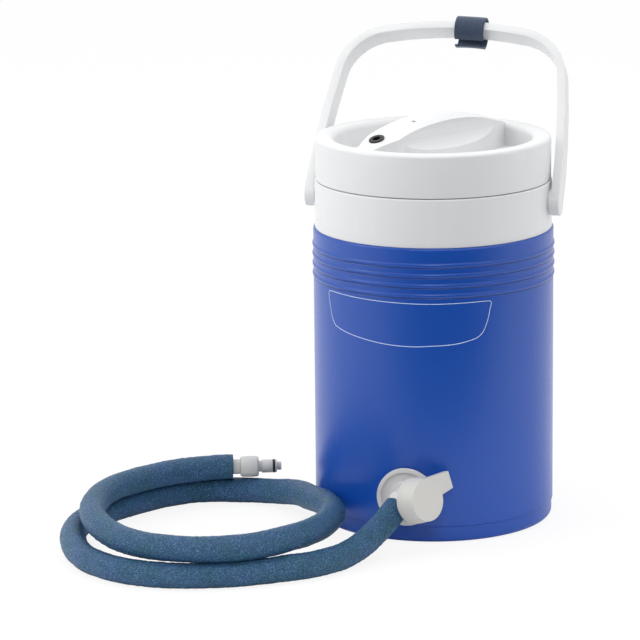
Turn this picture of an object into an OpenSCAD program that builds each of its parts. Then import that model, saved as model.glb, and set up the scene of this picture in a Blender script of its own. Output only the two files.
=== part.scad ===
// Cold and hot therapy cooler: an insulated jug with a screw lid that holds an air pump,
// a swinging bail, an outlet valve and an insulated hose that ends in a quick coupling.
// Millimetres. Origin at the centre of the base, +Z up, the outlet valve faces -Y.

/* [Jug] */
// Outside radius of the shell
shell_r = 89; // [80:1:110]
// Height of the shell up to the collar
shell_h = 219.5; // [180:0.5:280]
// Wall of the shell
shell_wall = 2.4; // [1.8:0.1:4]
// Height of the stepped-in foot
foot_h = 12; // [8:1:20]
// How far the foot steps in
foot_step = 0.8; // [0.4:0.1:1.5]
// Depth of the recess under the base
base_recess = 4; // [2:0.5:6]
// Number of raised beads round the shell
bead_count = 4; // [0:1:6]
// Distance between two beads
bead_pitch = 7.4; // [5:0.1:10]
// Distance from the top of the shell to the first bead
bead_drop = 12.5; // [10:0.5:25]
// Thickness of the foam between shell and liner
foam_t = 13.8; // [8:0.2:25]
// Wall of the liner
liner_wall = 2.2; // [1.5:0.1:4]
// Height of the liner's inside bottom
liner_floor = 18; // [16:0.5:35]

/* [Collar] */
// Height of the collar
collar_h = 35.5; // [30:0.5:50]
// How far the collar lies inside the shell's outside
collar_step = 1.3; // [0.5:0.1:2]
// Wall of the collar
collar_wall = 2.5; // [2:0.1:4]
// Wall of the threaded neck
neck_wall = 3; // [2.5:0.1:4]
// Height of the handle pivots above the collar's foot
pivot_rise = 20.5; // [14:0.5:24]
// Radius of the pivot studs
stud_r = 5.5; // [4:0.1:6.5]

/* [Lid] */
// Height of the lid's side wall
lid_h = 31.4; // [26:0.2:45]
// Wall of the lid's skirt
skirt_wall = 3; // [2:0.1:4]
// Room between skirt and neck for the thread
thread_room = 4; // [3:0.1:6]
// Depth of the two finger wells
well_depth = 16.5; // [10:0.5:20]
// Thickness of the lid's deck and well floor
deck_t = 2.6; // [2:0.1:4]
// Depth of the insulated plug under the wells
plug_depth = 16; // [10:0.5:26]

/* [Pump bridge] */
// Direction of the bridge, from +X
bridge_turn = 62; // [0:1:180]
// Width of the bridge at its middle
bridge_w = 47; // [42:1:60]
// Radius of the bridge's side arcs seen from above
bridge_plan_r = 180; // [150:5:260]
// Rise of the bridge above the rim
bridge_rise = 15.8; // [12:0.2:24]
// Radius of the arch along the bridge
bridge_arch_r = 184; // [170:1:260]
// Radius of the bridge's crown across
bridge_crown_r = 51; // [40:1:90]
// Wall of the bridge
bridge_wall = 2.5; // [2:0.1:3]
// Depth of the grip scoops in the bridge's sides
scoop_depth = 8.5; // [3:0.5:10]
// Radius of the grip scoops
scoop_r = 14.5; // [8:0.5:18]

/* [Bail] */
// How far the arms' outer faces stand off the collar at the pivots
bail_stand = 8.3; // [6:0.1:14]
// Thickness of the bail's band
bail_t = 6; // [4:0.5:8]
// Width of the bail's band
bail_w = 19.8; // [14:0.2:26]
// Width of the handle at its crown
bail_crown_w = 16.6; // [12:0.2:20]
// Radius of the arms' gentle curve
bail_arm_r = 770; // [600:10:1200]
// Angle of the arms' gentle curve
bail_arm_sweep = 7.75; // [6:0.25:10]
// Outside radius of the bail's corners
bail_corner_r = 42; // [30:1:60]
// Angle of the bail's corners
bail_corner_sweep = 70.5; // [64:0.5:74]
// Angle at which the bail leans back at rest
bail_lean = 37; // [0:1:60]

/* [Valve] */
// Height of the outlet above the floor
outlet_z = 35.3; // [32:0.1:60]
// Radius of the round flange on the shell
flange_r = 21.4; // [18:0.1:26]
// Distance of the valve's centre from the shell
valve_out = 13.5; // [13:0.5:25]
// Angle of the knob's axis, from +X towards the front
knob_turn = 32; // [20:1:60]
// Upward tilt of the knob's axis
knob_tilt = 12; // [0:0.5:20]
// Angle of the outlet round the knob's axis
outlet_turn = 60; // [50:1:70]
// Radius of the knob at its back
knob_r = 16.6; // [14:0.2:20]
// Length of the knob
knob_len = 15.2; // [12:0.2:22]
// Reach of the knob's lever from the axis
lever_reach = 28; // [21:0.5:36]
// Angle of the lever above the horizontal
lever_turn = 13; // [-10:1:40]
// How far the lever's middle line passes above the axis
lever_shift = 4; // [0:0.5:6]
// Width of the lever
lever_w = 13.5; // [9:0.5:16]
// Radius of the valve's plug
plug_r = 4.6; // [4.2:0.1:6]

/* [Hose] */
// Diameter of the hose's foam sleeve
hose_d = 18.4; // [14:0.2:20]
// Radius of the coupling's sealing nose
nose_r = 5; // [4:0.1:6]
// Length of the coupling's sealing nose
nose_len = 8.2; // [6:0.1:12]
// Radius of the coupling's barrel-shaped grip
grip_r = 8; // [7:0.1:10]
// Length of the coupling's grip
grip_len = 14; // [10:0.5:20]

/* [Hidden] */
$fn = 96;

gap = 0.3;            // between pieces that lie against each other on a curve
slip = 0.05;          // radial running clearance of a pin in its bore
far = 400;            // longer than anything that is cut through

// Shell, foam and liner
shell_in = shell_r - shell_wall;
foam_out = shell_in - gap;
foam_in = foam_out - foam_t;
liner_out = foam_in - gap;
liner_in = liner_out - liner_wall;
liner_top = shell_h + 12;
foot_round = 4;
edge_round = 1.5;
bead_r = 2;
bead_height = 0.8;
recess_rim = 9;
base_pad_r = 14;

// Collar and neck
collar_r = shell_r - collar_step;
collar_top = shell_h + collar_h;
lid_r = collar_r - 0.7;
neck_r = lid_r - skirt_wall - thread_room;
neck_in = neck_r - neck_wall;
spigot_depth = 13.5;
pivot_z = shell_h + pivot_rise;
stud_len = 2.2;       // the stud's length inside the arm, less than its hole
boss_face = collar_r + 0.6;

// Lid
seam = 0.6;
lid_bottom = collar_top + seam;
rim_z = lid_bottom + lid_h;
deck_z = rim_z - deck_t;
gasket_t = 1.8;
gasket_play = 0.25;
neck_top = deck_z - gasket_t - 2 * gasket_play;
well_wall = 2.5;
well_r = neck_in - 1.5 - well_wall;
floor_z = rim_z - well_depth;
floor_under = floor_z - deck_t;
rim_round_out = 2.6;
rim_round_in = 4.5;
plug_z = floor_under - plug_depth;
plug_wall = 2.2;
base_r = well_r + well_wall - 0.7;
base_top = plug_z + plug_wall;
screw_ring = 62;
screw_turns = [35, 125, 215, 305];
screw_r = 1.5;
screw_boss_r = 4.2;

// Bridge: its own frame has X along the bridge
bridge_top = rim_z + bridge_rise;
arch_z = bridge_top - bridge_arch_r;
plan_shift = bridge_plan_r - bridge_w / 2;
bridge_end_r = lid_r - 6;
scoop_z = rim_z + 7;
jack_s = -62;
jack_tilt = asin(jack_s / bridge_arch_r);
jack_seat = 0.35;
jack_bore_r = 2.9;
jack_bore_len = 9.5;
jack_r = 5.7;
jack_barrel_r = 4.6;
lamp_s = -26;
lamp_t = -4;
lamp_r = 1.5;

// Pump, in the bridge's frame
bay_floor = base_top;
motor_z = bay_floor + 17;
motor_r = 12;
motor_x = 8;
motor_len = 27;
shaft_r = 1;
crank_x = -2;
crank_throw = 1.5;
head_x = -20;
head_r = 13;
port_s = -44;
port_hole_r = 4;

// Bail
bail_half = collar_r + bail_stand;
arm_start = 0.6;
arm_end = arm_start + bail_arm_sweep;
corner_end = arm_end + bail_corner_sweep;
arm_c = [bail_half - bail_arm_r * cos(arm_start), -bail_arm_r * sin(arm_start)];
corner_c = arm_c + (bail_arm_r - bail_corner_r) * [cos(arm_end), sin(arm_end)];
crown_r = bail_corner_r + corner_c[0] / cos(corner_end);
crown_c = corner_c - (crown_r - bail_corner_r) * [cos(corner_end), sin(corner_end)];
bail_top = crown_c[1] + crown_r;
arm_inner = boss_face + 0.4;
pad_r = bail_w / 2 - 0.1;
taper_end = 100;
hole_end = bail_half - 1.5;
stud_end = hole_end - gap;

// Strap round the bail
strap_w = 24;
strap_t = 1.8;
strap_r = 7.4;
strap_half = bail_crown_w / 2 - 6.4;
strap_turn = 2.2;      // how far it has slid from the crown's middle, in degrees

// Valve: its own frame has Z along the knob's axis and X along the outlet
valve_y = -(shell_r + valve_out);
valve_at = [0, valve_y, outlet_z];
body_boss_r = 12;
body_boss_len = 5;
neck_tube_r = 8;
bore_r = 4;
flange_face = shell_r + 4;
gasket_thick = 1.2;
nut_face = liner_in - 3.2;
nut_len = 6;
nut_r = 12.5;
washer_r = 11.5;
barrel_r = plug_r + 2.6;
barrel_back = -6.4;
barrel_front = 9.5;
outlet_r = 6.8;
outlet_len = barrel_r + gap;
port_r = 3;
inlet_turn = 157.4;   // of the passage's inner leg, from the outlet
knob_back = 11.8;
knob_front = knob_back + knob_len;
knob_front_r = knob_r - 1.3;
lever_t = 4;
stem_r = 4;
seal_minor = 0.86;
seal_z = 6.2;

// Hose: centre-line points laid on the floor by hand, from the valve to the coupling
hose_r = hose_d / 2;
hose_route = [
    [-12, -129, 20], [-24, -155, 11.2], [-40, -181, 9.2], [-61, -200.5, 9.2], [-85, -216.5, 9.2],
    [-112, -228.5, 9.2], [-140, -234.5, 9.2], [-170, -231.5, 9.2], [-195, -218.5, 9.2],
    [-215, -197.5, 9.2], [-229, -170.5, 9.2], [-237, -144, 9.2], [-238, -115, 9.2],
    [-230, -88, 9.2], [-217, -62, 9.2], [-200, -35, 9.2], [-177, -17, 9.2], [-150, -10, 9.2],
    [-122, -15, 11.2], [-98, -32, 16.4], [-82, -55, 20], [-64, -80, 23.6], [-52, -104, 24.7],
    [-48, -133, 25.8], [-51, -162, 26.8], [-62, -187.5, 27.6], [-82, -209.5, 27.6],
    [-107, -223.5, 27.6], [-136, -227.5, 27.6], [-165, -220.5, 27.6], [-189, -203.5, 27.6],
    [-207, -180.5, 27.6], [-219, -155, 27.6], [-226, -126, 27.6], [-226, -98, 27.6],
    [-217, -70, 27.6], [-201, -45, 27.6], [-180, -25, 27.6]];
hose_end = [-154, -12, 27.6];
hose_sides = 10;
end_turn = 18;        // direction of the coupling, from +X

// Coupling, along its own X from the end of the sleeve
tube_r = 5.6;
grip_x = 5.5;
throat_len = 2.4;
nose_x = grip_x + grip_len + throat_len;
ring_w = 1.9;
tip_r = 3.2;
tip_len = 3.5;
nose_end = nose_x + nose_len + ring_w + 1.2;
coupling_end = nose_end + tip_len;
poppet_r = 1.9;
poppet_travel = 3;

white = [0.86, 0.87, 0.88];
blue = [0.13, 0.28, 0.66];
grey = [0.75, 0.75, 0.74];
black = [0.08, 0.08, 0.09];
navy = [0.19, 0.28, 0.42];
steel = [0.7, 0.72, 0.74];

// ---------------------------------------------------------------- helpers

function arc_points(centre, r, from, to, steps) =
    [for (i = [0:steps]) centre + r * [cos(from + (to - from) * i / steps),
                                       sin(from + (to - from) * i / steps)]];
function direction(a, b) = (b - a) / norm(b - a);

// What a rounded corner loses: (x, y) is the corner, dx and dy point into the material
module corner_cut(x, y, r, dx, dy) {
    translate([x, y])
        difference() {
            translate([dx > 0 ? -0.5 : -r, dy > 0 ? -0.5 : -r]) square(r + 0.5);
            translate([dx * r, dy * r]) circle(r);
        }
}

// A rectangle from one corner to the other
module rect(a, b) {
    translate(a) square(b - a);
}

module ring(r_out, r_in, z0, z1) {
    translate([0, 0, z0])
        difference() {
            cylinder(r = r_out, h = z1 - z0);
            translate([0, 0, -1]) cylinder(r = r_in, h = z1 - z0 + 2);
        }
}

// A cylinder along -Y that starts at the distance `from` and ends at `to`
module front_rod(r, from, to) {
    translate([0, -from, outlet_z]) rotate([90, 0, 0]) cylinder(r = r, h = to - from);
}

// A cylinder along X between two values
module x_rod(r, from, to) {
    translate([from, 0, 0]) rotate([0, 90, 0]) cylinder(r = r, h = to - from);
}

module in_bridge() {
    rotate([0, 0, bridge_turn]) children();
}

module in_valve() {
    translate(valve_at) rotate([0, 90 - knob_tilt, -knob_turn]) rotate([0, 0, -outlet_turn])
        children();
}

module in_coupling() {
    translate(hose_end) rotate([0, 0, end_turn]) children();
}

// The bail's own upright frame: X across, Z up from the pivots
module in_bail() {
    translate([0, 0, pivot_z]) rotate([-bail_lean, 0, 0]) children();
}

// ---------------------------------------------------------------- jug

module outer_shell() {
    color(blue) difference() {
        rotate_extrude() difference() {
            union() {
                rect([0, foot_h], [shell_r, shell_h]);
                rect([0, 0], [shell_r - foot_step, foot_h]);
                for (i = [0:1:bead_count - 1])
                    translate([shell_r + bead_height - bead_r, shell_h - bead_drop - i * bead_pitch])
                        circle(bead_r);
            }
            rect([-1, base_recess + shell_wall], [shell_in, shell_h + 1]);
            rect([base_pad_r, -1], [shell_r - recess_rim, base_recess]);
            corner_cut(shell_r - foot_step, 0, foot_round, -1, 1);
            corner_cut(shell_r, shell_h, edge_round, -1, -1);
            corner_cut(shell_r, foot_h, foot_step, -1, 1);
        }
        front_rod(neck_tube_r + 0.4, shell_in - 6, shell_r + 1);
    }
}

module foam_insulation() {
    color([0.93, 0.9, 0.8]) difference() {
        translate([0, 0, base_recess + shell_wall + gap])
            cylinder(r = foam_out, h = shell_h - spigot_depth - gap - base_recess - shell_wall - gap);
        translate([0, 0, liner_floor - liner_wall - gap]) cylinder(r = foam_in, h = far);
        front_rod(neck_tube_r + 0.8, foam_in - 6, shell_r);
    }
}

module liner() {
    bottom = liner_floor - liner_wall;
    inner_round = 5.5;
    color(white) difference() {
        rotate_extrude() difference() {
            union() {
                rect([0, bottom], [liner_out, liner_top]);
                rect([0, liner_top - 2.5], [liner_out + 1.9, liner_top]);
            }
            difference() {
                rect([-1, liner_floor], [liner_in, liner_top + 1]);
                corner_cut(liner_in, liner_floor, inner_round, -1, 1);
            }
            corner_cut(liner_out, bottom, inner_round + liner_wall, -1, 1);
        }
        front_rod(neck_tube_r + 0.4, liner_in - 8, liner_out + 1);
    }
}

module collar() {
    socket_in = liner_out + 2.2;
    socket_out = socket_in + 2.4;
    lip_z = liner_top + gap;
    cone_z = lip_z + 11;
    color(white) {
        difference() {
            union() {
                rotate_extrude() difference() {
                    union() {
                        rect([collar_r - collar_wall, shell_h], [collar_r, collar_top]);
                        rect([foam_out - collar_wall, shell_h - spigot_depth],
                             [foam_out, shell_h + collar_wall]);
                        rect([neck_in, collar_top - collar_wall], [collar_r, collar_top]);
                        rect([neck_in, cone_z], [neck_r, neck_top]);
                        polygon([[neck_in, cone_z], [liner_in + 2.5, lip_z + 3], [liner_in + 2.5, lip_z],
                                 [socket_in, lip_z], [socket_in, lip_z - 10], [socket_out, lip_z - 10],
                                 [socket_out, lip_z + 3.6], [neck_r, cone_z + 1], [neck_r, cone_z + 2],
                                 [neck_in, cone_z + 2]]);
                    }
                    corner_cut(collar_r, collar_top, 1.2, -1, -1);
                    corner_cut(collar_r, shell_h, 0.6, -1, 1);
                    corner_cut(neck_r, neck_top, 0.8, -1, -1);
                    corner_cut(neck_in, neck_top, 0.8, 1, -1);
                }
                for (side = [0, 180]) rotate([0, 0, side]) translate([0, 0, pivot_z]) {
                    x_rod(pad_r - 1, collar_r - 1.5, boss_face);
                    x_rod(stud_r, collar_r - 1.5, stud_end);
                }
            }
        }
    }
}

// ---------------------------------------------------------------- outlet valve

module spigot_flange() {
    color(white) difference() {
        front_rod(flange_r, shell_r - 6, flange_face);
        cylinder(r = shell_r + gasket_thick + gap, h = 100, $fn = 480);
        front_rod(flange_r - 3, flange_face - 1.6, flange_face + 1);
        front_rod(neck_tube_r + 0.1, shell_r - 8, flange_face + 1);
    }
}

module spigot_gasket() {
    color(black) difference() {
        front_rod(flange_r - 2.5, shell_r - 6, shell_r + 3);
        cylinder(r = shell_r + gap / 2, h = 100, $fn = 480);
        difference() {
            cylinder(r = shell_r + 20, h = 100);
            translate([0, 0, -1]) cylinder(r = shell_r + gasket_thick + gap / 2, h = 102, $fn = 480);
        }
        front_rod(neck_tube_r + gap, shell_r - 8, shell_r + 5);
    }
}

module valve_body() {
    color(white) difference() {
        union() {
            front_rod(neck_tube_r, nut_face - nut_len - 2.5, -valve_y);
            front_rod(body_boss_r, flange_face - 1.6, flange_face + body_boss_len);
            in_valve() {
                translate([0, 0, barrel_back]) cylinder(r = barrel_r, h = barrel_front - barrel_back);
                x_rod(outlet_r, 0, outlet_len);
            }
        }
        front_rod(bore_r, nut_face - nut_len - 4, -valve_y);
        in_valve() {
            translate([0, 0, barrel_back + 2.4]) cylinder(r = plug_r, h = 40);
            x_rod(port_r, 0, outlet_len + 1);
        }
    }
}

module inner_washer() {
    color(black) difference() {
        intersection() {
            front_rod(washer_r, nut_face + gap, liner_out + 4);
            cylinder(r = liner_in - 0.15, h = 100, $fn = 480);
        }
        front_rod(neck_tube_r + gap, 0, liner_out + 5);
    }
}

module spigot_nut() {
    color(white) difference() {
        translate([0, -(nut_face - nut_len), outlet_z]) rotate([90, 0, 0])
            cylinder(r = nut_r, h = nut_len, $fn = 6);
        front_rod(neck_tube_r + slip, nut_face - nut_len - 1, nut_face + 1);
    }
}

module valve_plug() {
    plug_back = barrel_back + 2.4 + gap;
    plug_front = barrel_front + 0.2;
    color(grey) in_valve() difference() {
        union() {
            translate([0, 0, plug_back]) cylinder(r = plug_r - slip, h = plug_front - plug_back);
            cylinder(r = stem_r, h = knob_back + 8);
        }
        ring(plug_r + 1, plug_r - slip - 2 * seal_minor - 0.04, seal_z - seal_minor - 0.1,
             seal_z + seal_minor + 0.1);
        for (turn = [0, inlet_turn]) rotate([0, 0, turn]) x_rod(port_r, 0, plug_r + 1);
        sphere(port_r);
    }
}

module plug_seal() {
    color(black) in_valve() translate([0, 0, seal_z]) rotate_extrude()
        translate([plug_r - slip - seal_minor, 0]) circle(seal_minor);
}

module valve_knob() {
    wall = 2.2;
    color(grey) in_valve() difference() {
        union() {
            rotate_extrude() difference() {
                polygon([[0, knob_back], [knob_r, knob_back], [knob_r, knob_back + 5],
                         [knob_front_r, knob_front], [0, knob_front]]);
                corner_cut(knob_front_r, knob_front, 1, -1, -1);
                rect([stem_r + 2.4, knob_back - 1], [knob_front_r - wall, knob_front - wall]);
            }
            rotate([0, 0, lever_turn - 270 + outlet_turn])
                translate([knob_front_r - 4, lever_shift - lever_w / 2, knob_front - lever_t - 0.4])
                    cube([lever_reach - knob_front_r + 4, lever_w, lever_t]);
        }
        translate([0, 0, knob_back - 1]) cylinder(r = stem_r + slip, h = 8 + 1 + gap);
    }
}

// ---------------------------------------------------------------- bail

// The bail's outline in its own plane, inset by `inset`; the ends stay open at the pivots
function bail_half_line(inset) = concat(
    arc_points(arm_c, bail_arm_r - inset, arm_start, arm_end, 4),
    arc_points(corner_c, bail_corner_r - inset, arm_end, corner_end, 12),
    arc_points(crown_c, crown_r - inset, corner_end, 90, 4));
function mirrored(line) = [for (i = [len(line) - 1:-1:0]) [-line[i][0], line[i][1]]];
function bail_line(inset) = concat(bail_half_line(inset), mirrored(bail_half_line(inset)));

// One edge of the handle seen from its side, wide at the pivots and narrow at the crown
function bail_side(side) = [
    [side * bail_w / 2, -30], [side * bail_w / 2, 15],
    [side * bail_crown_w / 2, taper_end], [side * bail_crown_w / 2, 200]];

module bail_handle() {
    inner = bail_line(bail_t);
    color(white) in_bail() difference() {
        union() {
            intersection() {
                rotate([90, 0, 0]) linear_extrude(bail_w + 4, center = true)
                    polygon(concat(bail_line(0), [for (i = [len(inner) - 1:-1:0]) inner[i]]));
                rotate([90, 0, 90]) linear_extrude(2 * bail_half + 10, center = true)
                    polygon(concat(bail_side(1), [for (i = [3:-1:0]) bail_side(-1)[i]]));
            }
            for (side = [0, 180]) rotate([0, 0, side]) x_rod(pad_r, arm_inner, bail_half);
        }
        for (side = [0, 180]) rotate([0, 0, side]) x_rod(stud_r + slip, arm_inner - 4, hole_end);
    }
}

module strap_ring(r) {
    for (side = [-1, 1]) translate([side * strap_half, 0]) circle(r);
    square([2 * strap_half, 2 * r], center = true);
}

module handle_strap() {
    color(navy) in_bail() translate([0, 0, crown_c[1]]) rotate([0, strap_turn, 0])
        translate([0, 0, crown_r - bail_t / 2 - 0.15]) rotate([90, 0, 90]) linear_extrude(strap_w, center = true) difference() {
            union() {
                strap_ring(strap_r + strap_t);
                intersection() {
                    strap_ring(strap_r + 2 * strap_t);
                    rect([-9, -20], [6, -4]);
                }
            }
            strap_ring(strap_r);
        }
}

// ---------------------------------------------------------------- lid

// The bridge seen from above: two arcs that cross, inset by `inset` and ended by a circle
module bridge_plan(inset, end_r) {
    intersection() {
        translate([0, -plan_shift]) circle(bridge_plan_r - inset);
        translate([0, plan_shift]) circle(bridge_plan_r - inset);
        circle(end_r);
    }
}

// The solid under the arched and crowned top, lowered by `drop`
module under_arch(drop) {
    ring_r = bridge_arch_r - bridge_crown_r;
    translate([0, 0, arch_z]) rotate([90, 0, 0]) rotate_extrude($fn = 240) {
        translate([ring_r, 0]) circle(bridge_crown_r - drop);
        rect([0, drop - bridge_crown_r], [ring_r, bridge_crown_r - drop]);
    }
}

// The scoops that the fingers grip, grown by `grow`
module scoops(grow) {
    for (side = [0, 180]) rotate([0, 0, side])
        translate([0, scoop_depth - bridge_w / 2 - scoop_r, scoop_z])
            rotate([0, 90, 0]) cylinder(r = scoop_r + grow, h = 200, center = true);
}

module bridge_column(inset, end_r) {
    difference() {
        translate([0, 0, floor_under]) linear_extrude(80) bridge_plan(inset, end_r);
        scoops(inset);
    }
}

module in_jack() {
    in_bridge() translate([jack_s, 0, arch_z + bridge_arch_r * cos(jack_tilt)])
        rotate([0, jack_tilt, 0]) translate([0, 0, -jack_seat]) children();
}

module lid_top() {
    color(white) difference() {
        union() {
            difference() {
                rotate_extrude() difference() {
                    union() {
                        rect([lid_r - skirt_wall, lid_bottom], [lid_r, rim_z]);
                        rect([well_r, deck_z], [lid_r, rim_z]);
                        rect([well_r, floor_under], [well_r + well_wall, rim_z]);
                        rect([0, floor_under], [well_r + well_wall, floor_z]);
                    }
                    corner_cut(lid_r, rim_z, rim_round_out, -1, -1);
                    corner_cut(well_r, rim_z, rim_round_in, 1, -1);
                    corner_cut(lid_r, lid_bottom, 0.6, -1, 1);
                }
                in_bridge() translate([0, 0, floor_under - 1]) linear_extrude(deck_t + 2)
                    bridge_plan(bridge_wall, well_r - 0.5);
            }
            in_bridge() difference() {
                intersection() {
                    bridge_column(0, bridge_end_r);
                    under_arch(0);
                }
                ring(far, well_r + 1, floor_under - 1, deck_z + 0.5);
            }
            for (a = screw_turns) rotate([0, 0, a]) translate([screw_ring, 0, base_top + gap])
                cylinder(r = screw_boss_r, h = floor_under - base_top);
        }
        in_bridge() intersection() {
            bridge_column(bridge_wall, well_r - 0.5);
            under_arch(bridge_wall);
        }
        in_jack() cylinder(r = jack_barrel_r + gap, h = 30, center = true);
        in_jack() cylinder(r = jack_r + gap, h = 5);
        in_bridge() translate([lamp_s, lamp_t, bridge_top - 12]) cylinder(r = lamp_r + 0.1, h = 20);
        for (a = screw_turns) rotate([0, 0, a]) translate([screw_ring, 0, base_top - 1])
            cylinder(r = screw_r + slip, h = 11);
    }
}

module lid_base() {
    color(white) difference() {
        union() {
            translate([0, 0, plug_z]) cylinder(r = base_r, h = plug_wall);
            ring(base_r, base_r - plug_wall, plug_z, floor_under - gap);
        }
        for (a = screw_turns) rotate([0, 0, a]) translate([screw_ring, 0, plug_z - 1])
            cylinder(r = screw_r + 0.4, h = plug_wall + 2);
        in_bridge() translate([port_s, 0, plug_z - 1]) cylinder(r = port_hole_r, h = plug_wall + 2);
    }
}
module lid_foam() {
    color([0.93, 0.9, 0.8]) translate([0, 0, base_top + gap])
        linear_extrude(floor_under - base_top - 2 * gap) difference() {
            circle(base_r - plug_wall - gap);
            in_bridge() bridge_plan(-1, far);
            for (a = screw_turns) rotate([0, 0, a]) translate([screw_ring, 0]) circle(screw_boss_r + gap);
        }
}

module lid_screws() {
    color(steel) for (a = screw_turns) rotate([0, 0, a]) translate([screw_ring, 0, plug_z]) {
        translate([0, 0, -0.5]) cylinder(r = screw_r, h = 12);
        translate([0, 0, -1.8]) cylinder(r1 = 2.6, r2 = 3.2, h = 1.8);
    }
}

module lid_gasket() {
    color(black) ring(neck_r + 0.8, neck_in - 0.6, neck_top + gasket_play, deck_z - gasket_play);
}

// ---------------------------------------------------------------- pump under the bridge

module pump_cradle() {
    color(black) in_bridge() difference() {
        union() {
            translate([head_x - head_r - 3, -14, bay_floor]) cube([motor_x + motor_len - head_x + head_r + 5, 28, 2.4]);
            translate([motor_x + 2, -13, bay_floor]) cube([motor_len - 4, 26, 12]);
        }
        translate([0, 0, motor_z]) x_rod(motor_r + gap, motor_x - 5, motor_x + motor_len + 5);
    }
}

module pump_motor() {
    color(steel) in_bridge() translate([0, 0, motor_z]) difference() {
        union() {
            x_rod(motor_r, motor_x, motor_x + motor_len);
            x_rod(3.5, motor_x - 2, motor_x + 1);
            x_rod(3, motor_x + motor_len - 1, motor_x + motor_len + 2);
        }
        x_rod(shaft_r + slip, motor_x - 3, motor_x + 14);
    }
}

module motor_shaft() {
    color(steel) in_bridge() translate([0, 0, motor_z]) x_rod(shaft_r, crank_x - 3, motor_x + 13.5);
}

module pump_crank() {
    color(grey) in_bridge() translate([0, 0, motor_z]) difference() {
        union() {
            x_rod(3.4, crank_x - 2.5, crank_x + 4);
            translate([0, crank_throw, 0]) x_rod(5, crank_x - 2.5, crank_x + 2);
        }
        x_rod(shaft_r + slip, crank_x - 4, crank_x + 6);
    }
}

module pump_head() {
    color(black) in_bridge() difference() {
        translate([head_x, 0, bay_floor + 2.4]) {
            cylinder(r = head_r, h = 9);
            translate([0, 0, 9]) cylinder(r = head_r - 1.5, h = 3);
            translate([0, 0, 12]) cylinder(r = 4, h = 9);
            translate([-head_r - 5.7, 0, 5]) rotate([0, 90, 0]) cylinder(r = 2, h = 8);
        }
        translate([0, 0, motor_z]) x_rod(7.2, crank_x - 4, crank_x + 10);
    }
}

module release_valve() {
    color(grey) in_bridge() translate([motor_x + motor_len + 6, -7, bay_floor]) {
        cube([18, 14, 10]);
        translate([9, 7, 10]) cylinder(r = 5, h = 10);
        translate([9, 7, 20]) cylinder(r = 2, h = 4);
    }
}

module control_board() {
    color([0.1, 0.4, 0.2]) in_bridge() translate([motor_x - 24, 17, bay_floor]) {
        cube([36, 1.6, 22]);
        translate([6, -2, 5]) cube([8, 2.01, 6]);
        translate([22, -3, 8]) cube([5, 3.01, 5]);
        translate([28, -2, 12]) cube([4, 2.01, 4]);
    }
}

module air_tube() {
    r_bend = 5;
    outlet_z0 = bay_floor + 2.4 + 5;
    color(white) in_bridge() difference() {
        union() {
            translate([0, 0, outlet_z0]) x_rod(3, port_s + r_bend, head_x - head_r - 1);
            translate([port_s + r_bend, 0, outlet_z0 - r_bend]) rotate([90, 0, 0])
                rotate_extrude_quarter(r_bend, 3);
        }
        translate([0, 0, outlet_z0]) x_rod(2 + slip, port_s + r_bend + 0.01, head_x - head_r);
    }
}

module rotate_extrude_quarter(r_bend, r_tube) {
    rotate([0, 0, 90]) rotate_extrude(angle = 90) translate([r_bend, 0]) circle(r_tube);
}

module air_port() {
    color(white) in_bridge() translate([port_s, 0, 0]) {
        ring(port_hole_r - slip, 1.6, plug_z - 6, base_top);
        ring(port_hole_r + 2.5, 1.6, base_top, base_top + 1.6);
        ring(3, 1.6, base_top + 1.6, bay_floor + 2.3);
    }
}

module dc_jack() {
    color(black) in_jack() {
        difference() {
            union() {
                cylinder(r = jack_r, h = 1.2);
                translate([0, 0, -13]) cylinder(r = jack_barrel_r, h = 13.5);
            }
            translate([0, 0, 1.2 - jack_bore_len]) cylinder(r = jack_bore_r, h = jack_bore_len + 1);
        }
        translate([0, 0, 1 - jack_bore_len]) cylinder(r = 1.05, h = jack_bore_len - 1.5);
    }
}

module jack_nut() {
    color(steel) in_jack() difference() {
        translate([0, 0, jack_seat - bridge_wall - 3]) cylinder(r = 7, h = 2.2, $fn = 6);
        translate([0, 0, -bridge_wall - 4]) cylinder(r = jack_barrel_r + slip, h = 5);
    }
}

module status_lamp() {
    color([0.3, 0.35, 0.3]) in_bridge() translate([lamp_s, lamp_t, bridge_top - 6.1]) {
        cylinder(r = lamp_r, h = 3.7);
        cylinder(r = lamp_r + 0.8, h = 1);
    }
}

// ---------------------------------------------------------------- hose and coupling

function turned(v) = [v[0] * cos(knob_turn) + v[1] * sin(knob_turn),
                      -v[0] * sin(knob_turn) + v[1] * cos(knob_turn), v[2]];
outlet_dir = turned(cos(outlet_turn) * [sin(knob_tilt), 0, -cos(knob_tilt)] + [0, -sin(outlet_turn), 0]);
outlet_face = valve_at + outlet_len * outlet_dir;

function ring_at(centre, dir, r, sides) =
    let (side = cross(dir, [0, 0, 1]), a = side / norm(side), b = cross(a, dir))
    [for (k = [0:sides - 1]) centre + r * (cos(360 * k / sides) * a + sin(360 * k / sides) * b)];

module tube_along(line, first_dir, last_dir, r, sides) {
    n = len(line);
    points = [for (i = [0:n - 1]) each ring_at(line[i],
        i == 0 ? first_dir : i == n - 1 ? last_dir : direction(line[i - 1], line[i + 1]), r, sides)];
    walls = [for (i = [0:n - 2], k = [0:sides - 1])
        let (a = i * sides + k, b = i * sides + (k + 1) % sides)
        each [[a, b, b + sides], [a, b + sides, a + sides]]];
    polyhedron(points, concat(
        [[for (k = [sides - 1:-1:0]) k]], walls, [[for (k = [0:sides - 1]) (n - 1) * sides + k]]));
}

module hose() {
    end_dir = [cos(end_turn), sin(end_turn), 0];
    color([0.24, 0.4, 0.55])
        tube_along(concat([outlet_face], hose_route, [hose_end]), outlet_dir, end_dir, hose_r, hose_sides);
}

module tube_end() {
    color(white) in_coupling() x_rod(tube_r, 0, grip_x);
}

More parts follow.
